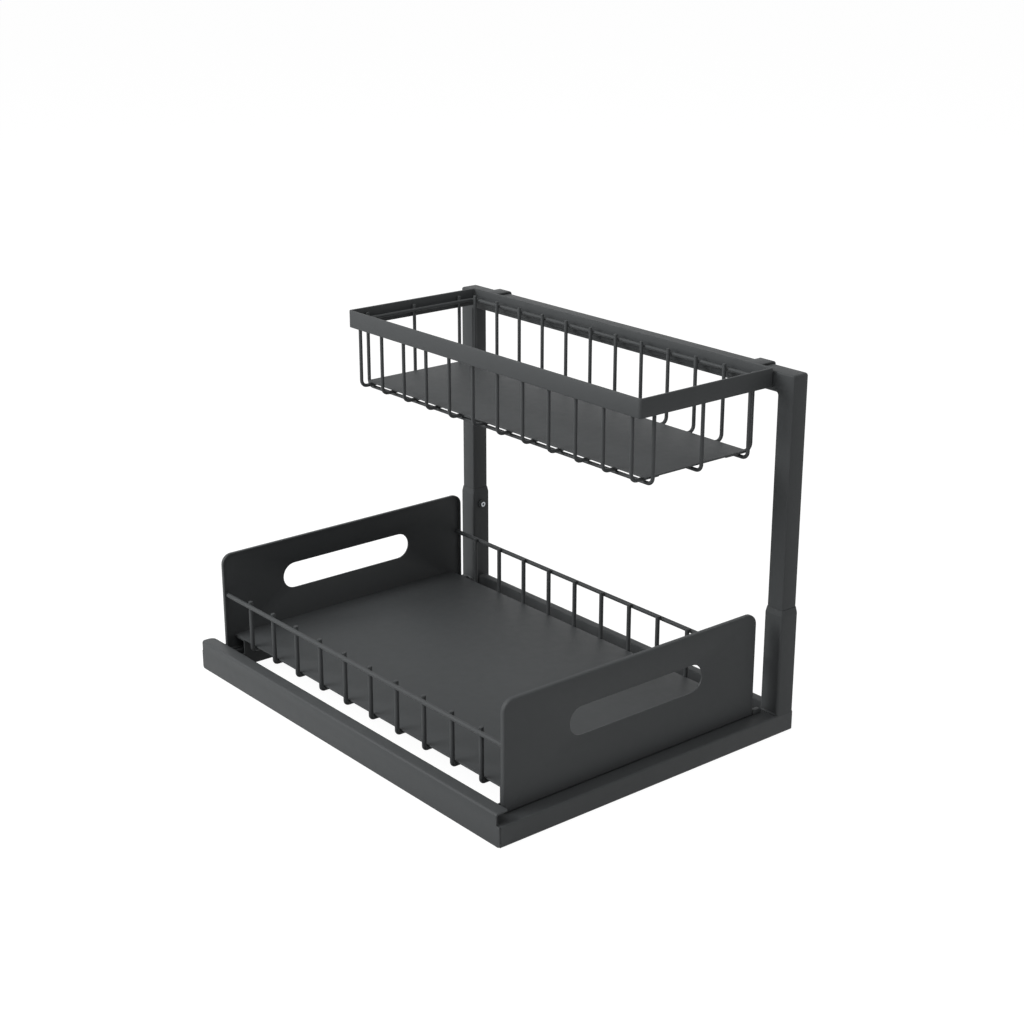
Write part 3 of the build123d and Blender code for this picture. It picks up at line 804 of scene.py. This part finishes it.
class BASKET_OT_basket_wires(bpy.types.Operator):
    """Wires of the upper basket, spot welded to the rod inside its rim"""

    bl_idname = "basket.basket_wires"
    bl_label = "Basket Wires"

    def execute(self, context):
        radius, bend = 2 * MM, 7 * MM
        rod_z = sum(c.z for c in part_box("upper_rim_rod")) / 2
        welds = bmesh.new()
        for end in ENDS:
            node = f"upper_{end}_wires"
            wires, places, wire_y = wire_row(node, end, radius, bend)
            for x in places:
                bead(welds, Vector((x, wire_y + radius, rod_z)), (1.3, 0.8, 0.9))
            piece(f"basket_{end}_wires", wires, "gate", node)

        low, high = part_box("upper_cross_wires")
        drop = high.z - low.z - radius
        legs = [-Z * drop, X * (high.x - low.x - 2 * radius), Z * drop]
        wires = bmesh.new()
        for y in (low.y + radius, (low.y + high.y) / 2, high.y - radius):
            start = Vector((low.x + radius, y, high.z))
            join(wires, bent_bar(start, legs, bend, radius, shapes().wire_tip))
            for x in (low.x + 2 * radius, high.x - 2 * radius):
                bead(welds, Vector((x, y, rod_z)), (0.8, 1.3, 0.9))
        piece("basket_cross_wires", wires, "gate", "upper_cross_wires")
        piece("basket_spot_welds", welds, "gate")
        return {"FINISHED"}


class BASKET_OT_basket_plate(bpy.types.Operator):
    """Flat plate on the floor of the upper basket"""

    bl_idname = "basket.basket_plate"
    bl_label = "Basket Plate"

    def execute(self, context):
        corner = 3 * MM
        bm = box_prism("XY", *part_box("upper_floor_plate"), [corner] * 4, shapes().cut_edge)
        piece("basket_floor_plate", bm, "gate", "upper_floor_plate")
        return {"FINISHED"}


class BASKET_OT_hook_straps(bpy.types.Operator):
    """Straps from the rim over the gate's bar"""

    bl_idname = "basket.hook_straps"
    bl_label = "Hook Straps"

    def execute(self, context):
        thickness, bend = 2.5 * MM, 3.2 * MM
        end_corner, edge = 2.5 * MM, 0.9 * MM
        for label in SIDES:
            node = f"hook_strap_{label}"
            low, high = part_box(node)
            bm = bmesh.new()
            ends = [bm.verts.new((x, low.y, high.z)) for x in (low.x, high.x)]
            line = [bm.edges.new(ends)]
            line = grow(bm, line, Y * (high.y - low.y - bend))
            line = turn(bm, line, Vector((0, high.y - bend, high.z - bend)), -X, 90)
            line = grow(bm, line, -Z * (high.z - low.z - bend))
            round_corners(bm, list(line[0].verts), end_corner, 5)
            look_out(bm, Vector(((low.x + high.x) / 2, low.y, low.z)))
            thicken(piece(f"hook_strap_sheet_{label}", bm, "gate", node), thickness, edge)
        return {"FINISHED"}


# ---------------------------------------------------------------- stage
# The angles, lens and target were fitted to the photograph. The distance was then brought 6 mm
# nearer, by the outline's outer edges.
CAMERA_ANGLES = (50.47, 19.28)
CAMERA_LENS = 65.0
CAMERA_SENSOR = 36.0
CAMERA_DISTANCE = 1810.9 * MM
CAMERA_TARGET = Vector((128.96, -70.77, 266.67)) * MM
CAMERA_CLIP = (0.05, 60.0)
WHITE = (1, 1, 1, 1)
WORLD_LIGHT = 0.26
FLOOR_REACH = 14.0
FLOOR_DROP = 0.2 * MM
FLOOR_SHADOW = 0.16
FLOOR_GLOW = 0.945
# Name, place, edge length in metres and power in watts.
LAMPS = (
    ("Front soft box", Vector((-0.9, -2.0, 1.6)), 1.6, 62.0),
    ("Side soft box", Vector((2.4, -0.7, 2.2)), 1.6, 8.0),
    ("Top soft box", Vector((0.3, -0.9, 5.0)), 2.6, 66.0),
)


def seen_ray(tree):
    """One for rays that show the surround: those of the camera, and in metal and glass."""
    path = add_node(tree, "ShaderNodeLightPath").outputs
    both = {0: path["Is Camera Ray"], 1: path["Is Glossy Ray"]}
    seen = add_node(tree, "ShaderNodeMath", both, operation="MAXIMUM").outputs["Value"]
    both = {0: seen, 1: path["Is Transmission Ray"]}
    return add_node(tree, "ShaderNodeMath", both, operation="MAXIMUM").outputs["Value"]


class BASKET_OT_stage(bpy.types.Operator):
    """Pale floor, soft studio light and the camera"""

    bl_idname = "basket.stage"
    bl_label = "Stage"

    def execute(self, context):
        self.make_floor()
        self.make_world(context)
        self.make_lamps()
        self.make_camera(context)
        context.scene.view_settings.view_transform = "Standard"
        return {"FINISHED"}

    def make_floor(self):
        """A wide floor that shows near white, with the object's soft shadow on it."""
        bm = bmesh.new()
        bmesh.ops.create_grid(bm, x_segments=1, y_segments=1, size=FLOOR_REACH)
        bmesh.ops.translate(bm, vec=-Z * FLOOR_DROP, verts=bm.verts)
        mesh = bpy.data.meshes.new("Studio floor")
        bm.to_mesh(mesh)
        bm.free()
        floor = bpy.data.objects.new("Studio floor", mesh)
        bpy.context.scene.collection.objects.link(floor)
        floor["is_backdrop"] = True
        # Matte card, painted pale; the camera sees it lit up to white apart from the shadow.
        material, tree = new_material("Painted card")
        lit = add_node(tree, "ShaderNodeBsdfDiffuse", {"Color": shade(finishes().floor)})
        seen = add_node(tree, "ShaderNodeBsdfDiffuse", {"Color": [FLOOR_SHADOW] * 3 + [1.0]})
        glow = add_node(tree, "ShaderNodeEmission", {"Color": WHITE, "Strength": FLOOR_GLOW})
        both = add_node(tree, "ShaderNodeAddShader")
        tree.links.new(seen.outputs["BSDF"], both.inputs[0])
        tree.links.new(glow.outputs["Emission"], both.inputs[1])
        pick = add_node(tree, "ShaderNodeMixShader", {"Fac": seen_ray(tree)})
        tree.links.new(lit.outputs["BSDF"], pick.inputs[1])
        tree.links.new(both.outputs["Shader"], pick.inputs[2])
        add_node(tree, "ShaderNodeOutputMaterial", {"Surface": pick.outputs["Shader"]})
        mesh.materials.append(material)

    def make_world(self, context):
        """White surround for the camera, and a softer one as light."""
        world = bpy.data.worlds.new("Studio surround")
        context.scene.world = world
        world.use_nodes = True
        tree = world.node_tree
        tree.nodes.clear()
        light = add_node(tree, "ShaderNodeBackground", {"Color": WHITE, "Strength": WORLD_LIGHT})
        seen = add_node(tree, "ShaderNodeBackground", {"Color": WHITE, "Strength": 1.0})
        pick = add_node(tree, "ShaderNodeMixShader", {"Fac": seen_ray(tree)})
        tree.links.new(light.outputs["Background"], pick.inputs[1])
        tree.links.new(seen.outputs["Background"], pick.inputs[2])
        add_node(tree, "ShaderNodeOutputWorld", {"Surface": pick.outputs["Shader"]})

    def make_lamps(self):
        """Large soft boxes, each aimed at the object's middle."""
        target = sum(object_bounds(), Vector()) / 2
        for name, place, size, power in LAMPS:
            lamp = bpy.data.lights.new(name, "AREA")
            lamp.shape = "SQUARE"
            lamp.size = size
            lamp.energy = power
            holder = bpy.data.objects.new(name, lamp)
            holder.location = place
            holder.rotation_euler = (target - holder.location).to_track_quat("-Z", "Y").to_euler()
            bpy.context.scene.collection.objects.link(holder)

    def make_camera(self, context):
        """The photograph's viewpoint."""
        azimuth, elevation = (math.radians(a) for a in CAMERA_ANGLES)
        back = Vector(
            (
                math.sin(azimuth) * math.cos(elevation),
                -math.cos(azimuth) * math.cos(elevation),
                math.sin(elevation),
            )
        )
        data = bpy.data.cameras.new("Photograph view")
        data.lens = CAMERA_LENS
        data.sensor_width = CAMERA_SENSOR
        data.clip_start, data.clip_end = CAMERA_CLIP
        camera = bpy.data.objects.new("Photograph view", data)
        camera.location = CAMERA_TARGET + back * CAMERA_DISTANCE
        camera.rotation_euler = (-back).to_track_quat("-Z", "Y").to_euler()
        context.scene.collection.objects.link(camera)
        context.scene.camera = camera


# ---------------------------------------------------------------- add-on
OPERATORS = (
    BASKET_OT_finishes,
    BASKET_OT_side_rails,
    BASKET_OT_post_sleeves,
    BASKET_OT_base_bars,
    BASKET_OT_finger_rail,
    BASKET_OT_side_panels,
    BASKET_OT_drawer_floor,
    BASKET_OT_guards,
    BASKET_OT_gate,
    BASKET_OT_rim,
    BASKET_OT_basket_wires,
    BASKET_OT_basket_plate,
    BASKET_OT_hook_straps,
    BASKET_OT_stage,
)


class BASKET_PT_panel(bpy.types.Panel):
    """Lists the basket's settings and the steps that make it"""

    bl_idname = "BASKET_PT_panel"
    bl_label = "Cabinet Basket"
    bl_space_type = "VIEW_3D"
    bl_region_type = "UI"
    bl_category = "Cabinet Basket"

    def draw(self, context):
        for group in (context.scene.basket_shapes, context.scene.basket_finishes):
            for name in group.__annotations__:
                self.layout.prop(group, name)
        for operator in OPERATORS:
            self.layout.operator(operator.bl_idname)


CLASSES = (BASKET_PG_shapes, BASKET_PG_finishes) + OPERATORS + (BASKET_PT_panel,)


def register():
    """Register the classes and hang the settings on the scene."""
    for cls in CLASSES:
        bpy.utils.register_class(cls)
    bpy.types.Scene.basket_shapes = bpy.props.PointerProperty(type=BASKET_PG_shapes)
    bpy.types.Scene.basket_finishes = bpy.props.PointerProperty(type=BASKET_PG_finishes)


def unregister():
    """Undo register, in the opposite order."""
    del bpy.types.Scene.basket_finishes
    del bpy.types.Scene.basket_shapes
    for cls in reversed(CLASSES):
        bpy.utils.unregister_class(cls)


def main():
    """Make the scene, one operator after another."""
    register()
    for operator in OPERATORS:
        group, name = operator.bl_idname.split(".")
        getattr(getattr(bpy.ops, group), name)()


if __name__ == "__main__":
    main()
